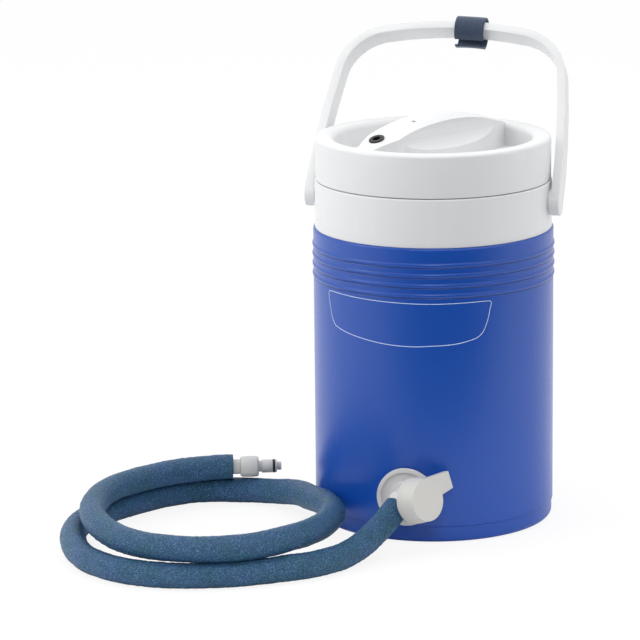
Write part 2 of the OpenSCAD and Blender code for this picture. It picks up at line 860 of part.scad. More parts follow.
module coupling_body() {
    bulb_x = grip_x + grip_len;
    color(grey) in_coupling() difference() {
        union() {
            x_rod(4.2, grip_x, nose_x + 1);
            x_rod(nose_r, nose_x, nose_end);
            x_rod(tip_r, nose_end - 1, coupling_end);
        }
        rotate([0, 90, 0]) ring(nose_r + 1, nose_r - 1.6, nose_x + nose_len, nose_x + nose_len + ring_w);
        x_rod(poppet_r + slip, bulb_x - 9.5, coupling_end + 1);
    }
}

module coupling_grip() {
    bulge_r = 60;
    color(grey) in_coupling() rotate([0, 90, 0]) rotate_extrude() difference() {
        intersection() {
            rect([4.2 + slip, grip_x], [grip_r, grip_x + grip_len]);
            translate([grip_r - bulge_r, grip_x + grip_len / 2]) circle(bulge_r, $fn = 240);
        }
        corner_cut(grip_r - 0.4, grip_x, 1.4, -1, 1);
        corner_cut(grip_r - 0.4, grip_x + grip_len, 1.4, -1, -1);
    }
}

module coupling_o_ring() {
    minor = ring_w / 2 - 0.05;
    color(black) in_coupling() translate([nose_x + nose_len + ring_w / 2, 0, 0]) rotate([0, 90, 0])
        rotate_extrude() translate([nose_r + 0.25 - minor, 0]) circle(minor);
}

module coupling_poppet() {
    color(grey) in_coupling() x_rod(poppet_r, nose_x + 2, coupling_end - 0.6);
}

module coupling_spring() {
    from = grip_x + grip_len - 5.5;
    to = nose_x + 1.8;
    turns = 4;
    wire_r = 0.25;
    steps = 40;
    coil_r = 1.4;
    line = [for (i = [0:steps]) [from + (to - from) * i / steps,
        coil_r * cos(360 * turns * i / steps), coil_r * sin(360 * turns * i / steps)]];
    color(steel) in_coupling()
        tube_along(line, direction(line[0], line[1]), direction(line[steps - 1], line[steps]), wire_r, 6);
}

// ---------------------------------------------------------------- the nodes

outer_shell();
foam_insulation();
liner();
collar();
spigot_flange();
spigot_gasket();
valve_body();
inner_washer();
spigot_nut();
valve_plug();
plug_seal();
valve_knob();
bail_handle();
handle_strap();
lid_gasket();
lid_top();
lid_base();
lid_foam();
lid_screws();
pump_cradle();
pump_motor();
motor_shaft();
pump_crank();
pump_head();
release_valve();
control_board();
air_tube();
air_port();
dc_jack();
jack_nut();
status_lamp();
hose();
tube_end();
coupling_body();
coupling_grip();
coupling_o_ring();
coupling_poppet();
coupling_spring();
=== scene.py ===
# %% [markdown]
# # An insulated jug with a pump lid and a foam-sleeved hose
# The construction model gives every piece its place, in metres, standing on the
# plane z = 0 with the outlet valve towards -Y. This file gives the pieces their looks:
# rounded edges, moulded plastic, woven tape, speckled foam, light and a camera.

import bpy
import math
from mathutils import Matrix, Vector


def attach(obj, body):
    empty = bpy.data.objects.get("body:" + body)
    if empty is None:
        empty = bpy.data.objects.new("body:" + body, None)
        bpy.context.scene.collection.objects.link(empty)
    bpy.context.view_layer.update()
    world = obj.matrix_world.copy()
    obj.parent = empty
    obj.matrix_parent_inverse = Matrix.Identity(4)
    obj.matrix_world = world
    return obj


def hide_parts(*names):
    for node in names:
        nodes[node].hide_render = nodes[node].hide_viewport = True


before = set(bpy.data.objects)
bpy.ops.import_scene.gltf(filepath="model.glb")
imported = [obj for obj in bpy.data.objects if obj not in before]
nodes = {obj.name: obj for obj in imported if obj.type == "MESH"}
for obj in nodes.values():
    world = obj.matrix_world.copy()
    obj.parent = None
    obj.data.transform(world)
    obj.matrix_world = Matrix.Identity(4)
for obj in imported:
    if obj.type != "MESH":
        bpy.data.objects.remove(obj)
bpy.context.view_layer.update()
scene = bpy.context.scene
MM = 0.001
print("pieces from the construction model:", len(nodes))

# %% [markdown]
# An operator works on everything that is selected, so each step starts from nothing
# selected. These helpers are small on purpose: each one does what a hand would do in
# the viewport, such as picking one piece, or pressing Tab and recalculating normals.

# %% Selecting a piece


def select_nothing():
    """Leaves edit mode and deselects everything, before a primitive is added."""
    if bpy.context.mode != "OBJECT":
        bpy.ops.object.mode_set(mode="OBJECT")
    bpy.ops.object.select_all(action="DESELECT")


def only(piece):
    """Selects one object and nothing else."""
    select_nothing()
    piece.select_set(True)
    bpy.context.view_layer.objects.active = piece


def new_piece(name, data):
    """Puts a curve or a mesh in the scene as an object, and selects it."""
    piece = bpy.data.objects.new(name, data)
    scene.collection.objects.link(piece)
    only(piece)
    return piece


# %% Finishing a new piece


def as_mesh(piece):
    """Turns a curve into a mesh."""
    only(piece)
    bpy.ops.object.convert(target="MESH")
    return bpy.context.object


def settle(piece, name, smooth):
    """Names a piece and moves its place into its mesh, so that it sits at the origin."""
    if piece.type == "CURVE":
        piece = as_mesh(piece)
    only(piece)
    piece.name = name
    bpy.ops.object.transform_apply(location=True, rotation=True, scale=True)
    bpy.ops.object.shade_smooth_by_angle(angle=math.radians(smooth))
    return piece


def point_outwards(piece, merge=0):
    """Merges points closer than `merge` metres, and turns every face outwards."""
    only(piece)
    bpy.ops.object.mode_set(mode="EDIT")
    bpy.ops.mesh.select_all(action="SELECT")
    if merge:
        bpy.ops.mesh.remove_doubles(threshold=merge)
    bpy.ops.mesh.normals_make_consistent(inside=False)
    bpy.ops.object.mode_set(mode="OBJECT")


def apply_modifier(piece, kind, **settings):
    """Adds a modifier with its settings and applies it."""
    only(piece)
    modifier = piece.modifiers.new(kind.title(), kind)
    for key, value in settings.items():
        setattr(modifier, key, value)
    bpy.ops.object.modifier_apply(modifier=modifier.name)


def paint(piece, finish):
    """Gives a piece one finish."""
    piece.data.materials.clear()
    piece.data.materials.append(finish)


# %% [markdown]
# ## Camera
# The photograph was taken from well back with a long lens, a little above the rim and
# a little to the right of the valve. A camera could be placed by eye, but a long lens
# shows small errors, so its place came from matching the ellipses of rim, collar and foot.

# %% Camera
CAMERA_PLACE = Vector((595.1, -2565.7, 753.7))
CAMERA_SIDE, CAMERA_DOWN, CAMERA_ROLL = 14.9, 12.962, -0.604
bpy.ops.object.camera_add()
camera = bpy.context.object
camera.name = "camera"
camera.data.sensor_width = 36
camera.data.lens = 203.9
camera.data.clip_end = 20
camera.matrix_world = (
    Matrix.Translation(CAMERA_PLACE * MM)
    @ Matrix.Rotation(math.radians(CAMERA_SIDE), 4, "Z")
    @ Matrix.Rotation(math.radians(90 - CAMERA_DOWN), 4, "X")
    @ Matrix.Rotation(math.radians(CAMERA_ROLL), 4, "Z")
)
scene.camera = camera
print("camera: %.1f degrees to the side, %.1f down" % (CAMERA_SIDE, CAMERA_DOWN))

# %% [markdown]
# ## The hose
# The hose is a soft tube inside a foam sleeve. It leaves the valve downwards, sinks to
# the floor, makes a turn and a half and lies on itself. A Bezier curve with a round
# section holds such a shape best: each point is on the route, and the handles keep
# the bends smooth between them. The points are the construction model's own.

# %% Hose route, in millimetres
SLEEVE_R = 9.45
VALVE = Vector((0, -102.5, 35.3))
OUTLET = Vector((-0.37076, -0.78952, -0.48907)).normalized()
OUTLET_LENGTH = 7.5
SLEEVE_START = VALVE + OUTLET * OUTLET_LENGTH
COUPLING = Vector((-154, -12, 27.6))
COUPLING_TURN = math.radians(18)
COUPLING_DIRECTION = Vector((math.cos(COUPLING_TURN), math.sin(COUPLING_TURN), 0))
ROUTE = [
    (-12, -129, 20), (-24, -155, 11.2), (-40, -181, 9.2), (-61, -200.5, 9.2), (-85, -216.5, 9.2),
    (-112, -228.5, 9.2), (-140, -234.5, 9.2), (-170, -231.5, 9.2), (-195, -218.5, 9.2),
    (-215, -197.5, 9.2), (-229, -170.5, 9.2), (-237, -144, 9.2), (-238, -115, 9.2),
    (-230, -88, 9.2), (-217, -62, 9.2), (-200, -35, 9.2), (-177, -17, 9.2), (-150, -10, 9.2),
    (-122, -15, 11.2), (-98, -32, 16.4), (-82, -55, 20), (-64, -80, 23.6), (-52, -104, 24.7),
    (-48, -133, 25.8), (-51, -162, 26.8), (-62, -187.5, 27.6), (-82, -209.5, 27.6),
    (-107, -223.5, 27.6), (-136, -227.5, 27.6), (-165, -220.5, 27.6), (-189, -203.5, 27.6),
    (-207, -180.5, 27.6), (-219, -155, 27.6), (-226, -126, 27.6), (-226, -98, 27.6),
    (-217, -70, 27.6), (-201, -45, 27.6), (-180, -25, 27.6),
]
route = [SLEEVE_START] + [Vector(point) for point in ROUTE] + [COUPLING]
print("route points:", len(route))

# %% Curve along the route
END_HANDLE = 8
sleeve_curve = bpy.data.curves.new("hose_sleeve", "CURVE")
sleeve_curve.dimensions = "3D"
sleeve_curve.resolution_u = 22
spline = sleeve_curve.splines.new("BEZIER")
spline.bezier_points.add(len(route) - 1)
for point, place in zip(spline.bezier_points, route):
    point.co = place * MM
    point.handle_left_type = point.handle_right_type = "AUTO"
first, last = spline.bezier_points[0], spline.bezier_points[-1]
for point, direction in ((first, OUTLET), (last, COUPLING_DIRECTION)):
    point.handle_left_type = point.handle_right_type = "FREE"
    point.handle_left = point.co - direction * END_HANDLE * MM
    point.handle_right = point.co + direction * END_HANDLE * MM

# %% [markdown]
# The tube made next is a mesh, and a mesh no longer knows its middle. A copy of the
# curve without a section is turned into points, and is then deleted again.

# %% Centre line of the sleeve
line = as_mesh(new_piece("centre_line", sleeve_curve.copy()))
bpy.ops.object.delete()

# %% [markdown]
# The foam has no hard skin, so its outline is slightly uneven. Bump mapping could not
# show that at the outline, so the curve becomes a mesh tube and two cloud patterns move
# its skin: one fine as the skin is, one as broad as the lumps of a bent sleeve. Its cut
# end has a soft edge and a hole for the tube. In front, where the upper turn rests on
# the lower one, the foam gives a little.

# %% Foam sleeve with its cut ends
SOFT_EDGE, CUT_FACE, TUBE_HOLE = (0.7, 0.35), (3.4, 0), (0.3, -1.2)
sleeve_curve.bevel_depth = SLEEVE_R * MM
sleeve_curve.bevel_resolution = 15
sleeve_curve.use_fill_caps = True
sleeve = as_mesh(new_piece("hose_sleeve", sleeve_curve))
bpy.ops.object.mode_set(mode="EDIT")
bpy.ops.mesh.select_all(action="DESELECT")
bpy.ops.object.mode_set(mode="OBJECT")
for face in sleeve.data.polygons:
    face.select = len(face.vertices) > 4
print("cut ends:", sum(face.select for face in sleeve.data.polygons))
bpy.ops.object.mode_set(mode="EDIT")
bpy.ops.mesh.select_mode(type="FACE")
for thickness, depth in (SOFT_EDGE, CUT_FACE, TUBE_HOLE):
    bpy.ops.mesh.inset(thickness=thickness * MM, depth=depth * MM, use_individual=True)
point_outwards(sleeve, merge=0.01 * MM)

# %% Uneven skin
for name, size, strength in (("foam_lumps", 24, 0.9), ("foam_skin", 2.2, 0.7)):
    pattern = bpy.data.textures.new(name, "CLOUDS")
    pattern.noise_scale = size * MM
    pattern.noise_depth = 1
    apply_modifier(
        sleeve, "DISPLACE", texture=pattern, texture_coords="LOCAL",
        strength=strength * MM, mid_level=0.5,
    )
    print(name, "is %.1f mm broad and moves the skin by %.1f mm" % (size, strength))

# %% Upper turn sinks where it rests
UPPER_TURN_Z, UPPER_TURN_X = 17 * MM, -60 * MM
SINK, SINK_FROM, SINK_OVER = 0.9 * MM, -195 * MM, 16 * MM
for vertex in sleeve.data.vertices:
    x, y, z = vertex.co
    if z > UPPER_TURN_Z and x < UPPER_TURN_X:
        z -= SINK * min(1, max(0, (SINK_FROM - y) / SINK_OVER))
    vertex.co.z = max(z, 0)
sleeve = settle(sleeve, "hose_sleeve", 60)
print("sleeve faces:", len(sleeve.data.polygons))

# %% [markdown]
# ## Finishes
# Colours are written as sRGB hex values, as a colour picker shows them, and one function
# turns them to the linear values that the shader works with. One more adds a node with
# its settings and its links. Patterns follow Object coordinates, so their sizes are in
# the part's own millimetres and no piece needs to be unwrapped.

# %% Colour and node helpers


def colour(hex_value):
    """sRGB hex to a linear RGBA colour."""
    parts = [int(hex_value[i : i + 2], 16) / 255 for i in (1, 3, 5)]
    return [c / 12.92 if c <= 0.04045 else ((c + 0.055) / 1.055) ** 2.4 for c in parts] + [1]


def add_node(tree, kind, links=(), **settings):
    """Adds a node. A link is (input, node, output) and a setting names an input or a property."""
    new = tree.nodes.new(kind)
    for key, value in settings.items():
        if key in new.inputs:
            new.inputs[key].default_value = value
        elif key.replace("_", " ") in new.inputs:
            new.inputs[key.replace("_", " ")].default_value = value
        else:
            setattr(new, key, value)
    for socket, source, output in links:
        tree.links.new(source.outputs[output], new.inputs[socket])
    return new


def new_finish(name, base, roughness, ior=1.5, metallic=0):
    """A material with its plain values on the shader's own sockets."""
    finish = bpy.data.materials.new(name)
    finish.use_nodes = True
    shader = finish.node_tree.nodes["Principled BSDF"]
    shader.inputs["Base Color"].default_value = colour(base)
    shader.inputs["Roughness"].default_value = roughness
    shader.inputs["IOR"].default_value = ior
    shader.inputs["Metallic"].default_value = metallic
    finish.diffuse_color = colour(base)
    return finish, finish.node_tree, shader


def grain(tree, shader, size, height, detail=2.0):
    """Fine relief of a moulded face: bumps `size` metres apart and `height` metres high."""
    place = add_node(tree, "ShaderNodeTexCoord")
    noise = add_node(
        tree, "ShaderNodeTexNoise", [("Vector", place, "Object")], Scale=1 / size, Detail=detail
    )
    bump = add_node(tree, "ShaderNodeBump", [("Height", noise, "Fac")], Distance=height)
    tree.links.new(bump.outputs["Normal"], shader.inputs["Normal"])
    return noise


def vary(tree, source, low, high, socket):
    """Lets a roughness drift between two values with a pattern."""
    spread = add_node(
        tree, "ShaderNodeMapRange", [("Value", source, "Fac")], To_Min=low, To_Max=high
    )
    tree.links.new(spread.outputs["Result"], socket)


def plain_finish(name, base, roughness, ior, size, height, drift=None, metallic=0, detail=2.0):
    """A finish with a fine grain, in millimetres, and a roughness that may drift."""
    finish, tree, shader = new_finish(name, base, roughness, ior, metallic)
    noise = grain(tree, shader, size * MM, height * MM, detail)
    if drift:
        vary(tree, noise, *drift, shader.inputs["Roughness"])
    return finish


def set_ramp(ramp, *stops):
    """Sets a colour ramp's two ends, and then adds the stops between them."""
    elements = ramp.color_ramp.elements
    for element, (position, shade) in zip(elements, (stops[0], stops[-1])):
        element.position, element.color = position, colour(shade)
    for position, shade in stops[1:-1]:
        elements.new(position).color = colour(shade)


# %% [markdown]
# The shell is blown polyethylene with a leather grain: the blue is solid, and the
# gloss is broad because the grain scatters it. The real grain is under a millimetre; it
# is drawn at 2.2 mm, the finest that shows at this distance.

# %% Blue polyethylene
# The darker blue is painted shade, laid into the creases under the beads.
BLUE, CREASE_SHADE_BLUE, LEATHER = "#0B48A6", "#06276B", 2.2
blue_polyethylene, tree, shader = new_finish("blue_polyethylene_moulded", BLUE, 0.3, 1.5)
place = add_node(tree, "ShaderNodeTexCoord")
leather = add_node(
    tree, "ShaderNodeTexNoise", [("Vector", place, "Object")],
    Scale=1 / (LEATHER * MM), Detail=3.0, Roughness=0.6,
)
vary(tree, leather, 0.24, 0.38, shader.inputs["Roughness"])
print("leather grain:", LEATHER, "mm")

# %% [markdown]
# Four beads run round the shell. Where each one meets the wall below it, the mould leaves
# a sharp crease. It is narrower than the mesh would show, so the height alone draws it:
# distance from the nearest crease, taken from the height above the floor and the pitch.
# That mask dents the relief, and it also darkens the blue there as painted shade in the crease.

# %% Creases under the beads
CREASE_TOP, BEAD_PITCH, CREASE_HALF, CREASES = 205.0, 7.4, 0.55, 4
height = add_node(tree, "ShaderNodeSeparateXYZ", [("Vector", place, "Object")])
steps = add_node(tree, "ShaderNodeMath", [(0, height, "Z")], operation="MULTIPLY_ADD")
steps.inputs[1].default_value = -1 / (BEAD_PITCH * MM)
steps.inputs[2].default_value = CREASE_TOP / BEAD_PITCH
nearest = add_node(tree, "ShaderNodeMath", [(0, steps, "Value")], operation="ROUND")
not_above = add_node(tree, "ShaderNodeMath", [(0, nearest, "Value")], operation="MAXIMUM")
not_above.inputs[1].default_value = 0
not_below = add_node(tree, "ShaderNodeMath", [(0, not_above, "Value")], operation="MINIMUM")
not_below.inputs[1].default_value = CREASES - 1
apart = add_node(
    tree, "ShaderNodeMath", [(0, steps, "Value"), (1, not_below, "Value")], operation="SUBTRACT"
)
away = add_node(tree, "ShaderNodeMath", [(0, apart, "Value")], operation="ABSOLUTE")
crease_and_shade = add_node(
    tree, "ShaderNodeMapRange", [("Value", away, "Value")], interpolation_type="SMOOTHSTEP"
)
crease_and_shade.inputs["From Max"].default_value = CREASE_HALF / BEAD_PITCH
print("creases at", [round(CREASE_TOP - BEAD_PITCH * step, 1) for step in range(CREASES)], "mm")

# %% Colour with painted crease shade, and relief of the shell
# The mask mixes in the darker blue as painted shade in each crease; the bumps below dent the
# relief.
crease_shade = add_node(tree, "ShaderNodeMix", [(0, crease_and_shade, "Result")], data_type="RGBA")
crease_shade.inputs[6].default_value = colour(CREASE_SHADE_BLUE)
crease_shade.inputs[7].default_value = colour(BLUE)
tree.links.new(crease_shade.outputs[2], shader.inputs["Base Color"])
skin = add_node(tree, "ShaderNodeBump", [("Height", leather, "Fac")], Distance=0.1 * MM)
cut = add_node(
    tree, "ShaderNodeBump", [("Height", crease_and_shade, "Result"), ("Normal", skin, "Normal")],
    Distance=0.25 * MM,
)
tree.links.new(cut.outputs["Normal"], shader.inputs["Normal"])
print("shell nodes:", len(tree.nodes))

# %% [markdown]
# The other solid pieces are moulded from one plain material each. The white lid, collar
# and handle are polypropylene from a smooth tool; the outlet and the coupling are
# acetal, a little greyer and duller. Each still gets a fine grain and a roughness that
# drifts, because an even gloss is what makes plastic look drawn.

# %% White and grey plastics
white_polypropylene = plain_finish(
    "white_polypropylene_moulded", "#DEDFE0", 0.42, 1.49, 0.9, 0.008, (0.38, 0.46)
)
valve_white = plain_finish("acetal_white_moulded", "#D4D3D3", 0.45, 1.48, 0.8, 0.01, (0.4, 0.5))
valve_grey = plain_finish("acetal_grey_moulded", "#C8C7C3", 0.5, 1.48, 0.7, 0.015, (0.45, 0.55))
print("plastics:", white_polypropylene.name, valve_white.name, valve_grey.name)

# %% [markdown]
# Seals are dull rubber; the socket and the pump's housing are nylon, which is a shade
# glossier. The screws, the motor's can and the shaft are steel with a bright zinc skin.

# %% Black plastic, rubber and metal
black_nylon = plain_finish("nylon_black_moulded", "#0D0D0E", 0.4, 1.53, 0.6, 0.01, (0.35, 0.5))
black_rubber = plain_finish("rubber_black", "#1B1B1C", 0.6, 1.52, 0.5, 0.02, (0.55, 0.7))
zinc_steel = plain_finish(
    "steel_zinc_plated", "#B9BCC0", 0.32, 1.5, 0.8, 0.006, (0.25, 0.4), metallic=1
)
print("dark and bright:", black_nylon.name, black_rubber.name, zinc_steel.name)

# %% [markdown]
# Poured insulation has an open, matt face with pores over a millimetre across. The
# board, the vinyl tube and the lamp's smoked lens are smooth and keep a small gloss.

# %% Foam, board, tube and lens
cream_foam = plain_finish("polyurethane_foam", "#E9DFC0", 0.9, 1.5, 1.4, 0.2, detail=4.0)
solder_mask = plain_finish("solder_mask_green", "#1E6B3C", 0.35, 1.5, 1.2, 0.02)
clear_vinyl = plain_finish("vinyl_tube", "#DDE3E6", 0.2, 1.5, 2, 0.01)
lamp_lens = plain_finish("lamp_lens_smoked", "#5A5E60", 0.3, 1.5, 1, 0.01)
print("small ones:", cream_foam.name, solder_mask.name, clear_vinyl.name, lamp_lens.name)

# %% [markdown]
# The sleeve is a blue foam with a fine open skin. Seen close it is a mix of light and
# dark specks about a millimetre across, with slow blotches where it was handled. A
# painted map would do it too, but noise in the object's own space has no seam along
# the tube. The specks also set the relief and the gloss, so that light ones sparkle.

# %% Speckled foam sleeve
FLECK, PORE, BLOTCH = 0.9, 1.3, 16
sleeve_foam, tree, shader = new_finish("speckled_foam_sleeve", "#3A6488", 0.55, 1.45)
place = add_node(tree, "ShaderNodeTexCoord")
fleck = add_node(
    tree, "ShaderNodeTexNoise", [("Vector", place, "Object")],
    Scale=1 / (FLECK * MM), Detail=2.0, Roughness=0.75,
)
blotch = add_node(
    tree, "ShaderNodeTexNoise", [("Vector", place, "Object")], Scale=1 / (BLOTCH * MM), Detail=3.0
)
pores = add_node(
    tree, "ShaderNodeTexVoronoi", [("Vector", place, "Object")], Scale=1 / (PORE * MM)
)
fleck_ramp = add_node(tree, "ShaderNodeValToRGB", [("Fac", fleck, "Fac")])
set_ramp(fleck_ramp, (0.32, "#1A3F61"), (0.46, "#284F76"), (0.57, "#396388"), (0.68, "#6A99B4"))
blotch_ramp = add_node(tree, "ShaderNodeValToRGB", [("Fac", blotch, "Fac")])
set_ramp(blotch_ramp, (0.38, "#C4EFE4"), (0.62, "#F2F4FF"))
tint = add_node(tree, "ShaderNodeMix", data_type="RGBA", blend_type="MULTIPLY")
tint.inputs[0].default_value = 1
tree.links.new(fleck_ramp.outputs["Color"], tint.inputs[6])
tree.links.new(blotch_ramp.outputs["Color"], tint.inputs[7])
tree.links.new(tint.outputs[2], shader.inputs["Base Color"])
print("foam: specks %.1f mm, blotches %.0f mm" % (FLECK, BLOTCH))

# %% Relief and gloss of the foam
relief = add_node(
    tree, "ShaderNodeMath", [(0, fleck, "Fac"), (1, pores, "Distance")], operation="ADD"
)
bump = add_node(tree, "ShaderNodeBump", [("Height", relief, "Value")], Distance=0.8 * MM)
tree.links.new(bump.outputs["Normal"], shader.inputs["Normal"])
vary(tree, fleck, 0.6, 0.32, shader.inputs["Roughness"])
paint(sleeve, sleeve_foam)
print("foam: pores %.1f mm, nodes: %d" % (PORE, len(tree.nodes)))

# %% [markdown]
# The strap is a woven tape with a napped face. Its warp shows as faint bands across the
# width, and the nap breaks them up and gives the cloth a soft sheen towards its edges.

# %% Navy woven tape
WARP, NAP = 7, 0.7
navy_tape, tree, shader = new_finish("navy_woven_tape", "#33435F", 0.8, 1.5)
place = add_node(tree, "ShaderNodeTexCoord")
warp = add_node(
    tree, "ShaderNodeTexWave", [("Vector", place, "Object")],
    Scale=1 / (WARP * MM), bands_direction="X",
)
fuzz = add_node(
    tree, "ShaderNodeTexNoise", [("Vector", place, "Object")], Scale=1 / (NAP * MM), Detail=3.0
)
both = add_node(tree, "ShaderNodeMath", [(0, warp, "Fac"), (1, fuzz, "Fac")], operation="ADD")
bump = add_node(tree, "ShaderNodeBump", [("Height", both, "Value")], Distance=0.12 * MM)
tree.links.new(bump.outputs["Normal"], shader.inputs["Normal"])
tape_ramp = add_node(tree, "ShaderNodeValToRGB", [("Fac", fuzz, "Fac")])
set_ramp(tape_ramp, (0.3, "#202E44"), (0.7, "#344661"))
tree.links.new(tape_ramp.outputs["Color"], shader.inputs["Base Color"])
shader.inputs["Sheen Weight"].default_value = 0.3
print("tape: warp bands set by %.1f mm, nap %.1f mm" % (WARP, NAP))

# %% [markdown]
# Most pieces keep the construction model's shape and only change their finish. What the
# table does not name is white polypropylene. Pieces that are hidden get theirs too,
# because they show as soon as the lid comes off.

# %% Every construction piece gets its finish
PIECES_OF = {
    blue_polyethylene: ["outer_shell"],
    cream_foam: ["foam_insulation", "lid_foam"],
    valve_white: ["spigot_flange", "valve_body", "spigot_nut"],
    valve_grey: [
        "valve_plug", "valve_knob", "pump_crank", "release_valve", "air_port",
        "tube_end", "coupling_body", "coupling_grip", "coupling_poppet",
    ],
    black_rubber: ["spigot_gasket", "inner_washer", "plug_seal", "lid_gasket", "coupling_o_ring"],
    black_nylon: ["pump_cradle", "pump_head", "dc_jack"],
    zinc_steel: ["lid_screws", "pump_motor", "motor_shaft", "jack_nut", "coupling_spring"],
    solder_mask: ["control_board"],
    clear_vinyl: ["air_tube"],
    lamp_lens: ["status_lamp"],
    navy_tape: ["handle_strap"],
    sleeve_foam: ["hose"],
}
FINISH = {name: finish for finish, names in PIECES_OF.items() for name in names}
for name, node in nodes.items():
    finish = FINISH.get(name, white_polypropylene)
    for slot in node.material_slots:
        slot.material = finish
print("finishes given:", len(nodes), "of them plain white:", len(nodes) - len(FINISH))

# %% [markdown]
# ## Rounded edges
# A moulded piece has no knife edges, and it is the thin highlight on a rounded edge that
# makes it look solid. The construction model stays as it is, so each piece that shows
# gets a copy: its points are merged, its flat faces are made whole again, and a bevel
# rounds what is still sharper than the angle given.

# %% Rounded copies
MERGE, FLAT = 0.002 * MM, math.radians(0.6)


def rounded(name, body, width, angle=40):
    """A copy of a construction piece whose sharp edges are rounded by `width` millimetres."""
    piece = new_piece(name + "_moulded", nodes[name].data.copy())
    bpy.ops.object.mode_set(mode="EDIT")
    bpy.ops.mesh.select_all(action="SELECT")
    bpy.ops.mesh.remove_doubles(threshold=MERGE)
    bpy.ops.mesh.dissolve_limited(angle_limit=FLAT)
    bpy.ops.object.mode_set(mode="OBJECT")
    apply_modifier(
        piece, "BEVEL", width=width * MM, segments=3, limit_method="ANGLE",
        angle_limit=math.radians(angle), miter_outer="MITER_ARC",
    )
    bpy.ops.object.shade_smooth_by_angle(angle=math.radians(angle))
    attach(piece, body)
    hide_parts(name)
    print(name, "rounded, faces:", len(piece.data.polygons))
    return piece


rounded("bail_handle", "bail", 1.5)
rounded("lid_top", "lid", 1.3, angle=30)
rounded("collar", "jug", 0.5, angle=50)
rounded("spigot_flange", "jug", 0.9)
rounded("valve_body", "jug", 0.6)
tube_end = rounded("tube_end", "jug", 0.5)
grip = rounded("coupling_grip", "jug", 0.5, angle=25)
nose = rounded("coupling_body", "jug", 0.35)
rounded("dc_jack", "lid", 0.25, angle=50)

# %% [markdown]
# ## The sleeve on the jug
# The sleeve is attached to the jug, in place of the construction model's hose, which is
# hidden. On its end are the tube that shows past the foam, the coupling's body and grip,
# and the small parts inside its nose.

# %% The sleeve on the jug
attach(sleeve, "jug")
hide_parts("hose")

# %% [markdown]
# ## Valve knob
# The knob is a short round cap, a little narrower in front, with one flat lever. The cap
# starts from a round face that is extruded twice and hollowed from behind, where it
# leaves a stem for the plug. The lever's upper edge runs off the cap as a tangent, which
# gives it a broad root. Both are modelled lying flat at the origin, because that is where
# their sizes are easy to read, and then stood in the valve's slanting frame.

# %% Cap of the knob
KNOB_R, FACE_R = 16.6, 15.2
KNOB_BACK, RIM, KNOB_FRONT = 11.8, 5, 27
WALL, CAVITY, STEM_GAP, BORE_RIM, BORE = 2.6, 12.4, 7.2, 2.7, 8.2


def push(distance):
    """Extrudes what is selected along Z, in millimetres."""
    bpy.ops.mesh.extrude_region_move(TRANSFORM_OT_translate={"value": (0, 0, distance * MM)})


select_nothing()
bpy.ops.mesh.primitive_circle_add(
    vertices=96, radius=KNOB_R * MM, fill_type="NGON", location=(0, 0, KNOB_BACK * MM)
)
knob = bpy.context.object
bpy.ops.object.transform_apply(location=True)
bpy.ops.object.mode_set(mode="EDIT")
bpy.ops.mesh.select_all(action="SELECT")
push(RIM)
push(KNOB_FRONT - KNOB_BACK - RIM)
bpy.ops.transform.resize(
    value=(FACE_R / KNOB_R, FACE_R / KNOB_R, 1), center_override=(0, 0, KNOB_FRONT * MM)
)
bpy.ops.mesh.select_all(action="DESELECT")
bpy.ops.object.mode_set(mode="OBJECT")
print("cap, closed:", len(knob.data.polygons), "faces")

# %% Hollow behind the cap, with its stem
for face in knob.data.polygons:
    face.select = len(face.vertices) > 4 and face.center.z < (KNOB_BACK + 1) * MM
bpy.ops.object.mode_set(mode="EDIT")
bpy.ops.mesh.select_mode(type="FACE")
for ring, depth in ((WALL, CAVITY), (STEM_GAP, -CAVITY), (BORE_RIM, BORE)):
    bpy.ops.mesh.inset(thickness=ring * MM)
    push(depth)
point_outwards(knob)
print("cap, hollow:", len(knob.data.polygons), "faces")

# %% Lever, joined to the cap
LEVER = [(-2, 14.85), (2.4, 15.0), (28.9, 10.3), (28.3, -2.6), (8, -2.7), (-2, 0)]
LEVER_T, SET_BACK, EDGE_R = 4.4, 1.6, 1.0
LEVER_TURN, OUTLET_TURN = 13, 60
select_nothing()
bpy.ops.mesh.primitive_circle_add(vertices=len(LEVER), radius=0.01, fill_type="NGON")
lever = bpy.context.object
for vertex, (x, y) in zip(lever.data.vertices, reversed(LEVER)):
    vertex.co = (x * MM, y * MM, (KNOB_FRONT - SET_BACK - LEVER_T) * MM)
bpy.ops.object.mode_set(mode="EDIT")
bpy.ops.mesh.select_all(action="SELECT")
push(LEVER_T)
point_outwards(lever)
lever.rotation_euler.z = math.radians(LEVER_TURN - 270 + OUTLET_TURN)
bpy.ops.object.transform_apply(rotation=True)
apply_modifier(knob, "BOOLEAN", operation="UNION", object=lever, solver="EXACT")
bpy.data.objects.remove(lever)
apply_modifier(
    knob, "BEVEL", width=EDGE_R * MM, segments=4, limit_method="ANGLE",
    angle_limit=math.radians(35),
)
print("lever joined, edges rounded by", EDGE_R, "mm")

# %% Knob in its place
AXIS_SIDE, AXIS_DOWN = -32, 78
VALVE_FRAME = (
    Matrix.Translation(VALVE * MM)
    @ Matrix.Rotation(math.radians(AXIS_SIDE), 4, "Z")
    @ Matrix.Rotation(math.radians(AXIS_DOWN), 4, "Y")
    @ Matrix.Rotation(math.radians(-OUTLET_TURN), 4, "Z")
)
knob.data.transform(VALVE_FRAME)
knob = settle(knob, "knob_with_lever", 35)
paint(knob, valve_grey)
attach(knob, "valve_turner")
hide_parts("valve_knob")
print("knob faces:", len(knob.data.polygons))

# %% [markdown]
# ## Strap on the handle
# A length of hook-and-loop tape is wrapped once round the handle's crown, with a short
# loose end below. It could be a ring with a gap, but a flat grid rolled along a spiral
# is made as the real one is: its length is the tape's, its width stays even, and its end
# stands off. A slight wave in its edges keeps it from looking like a band of metal.

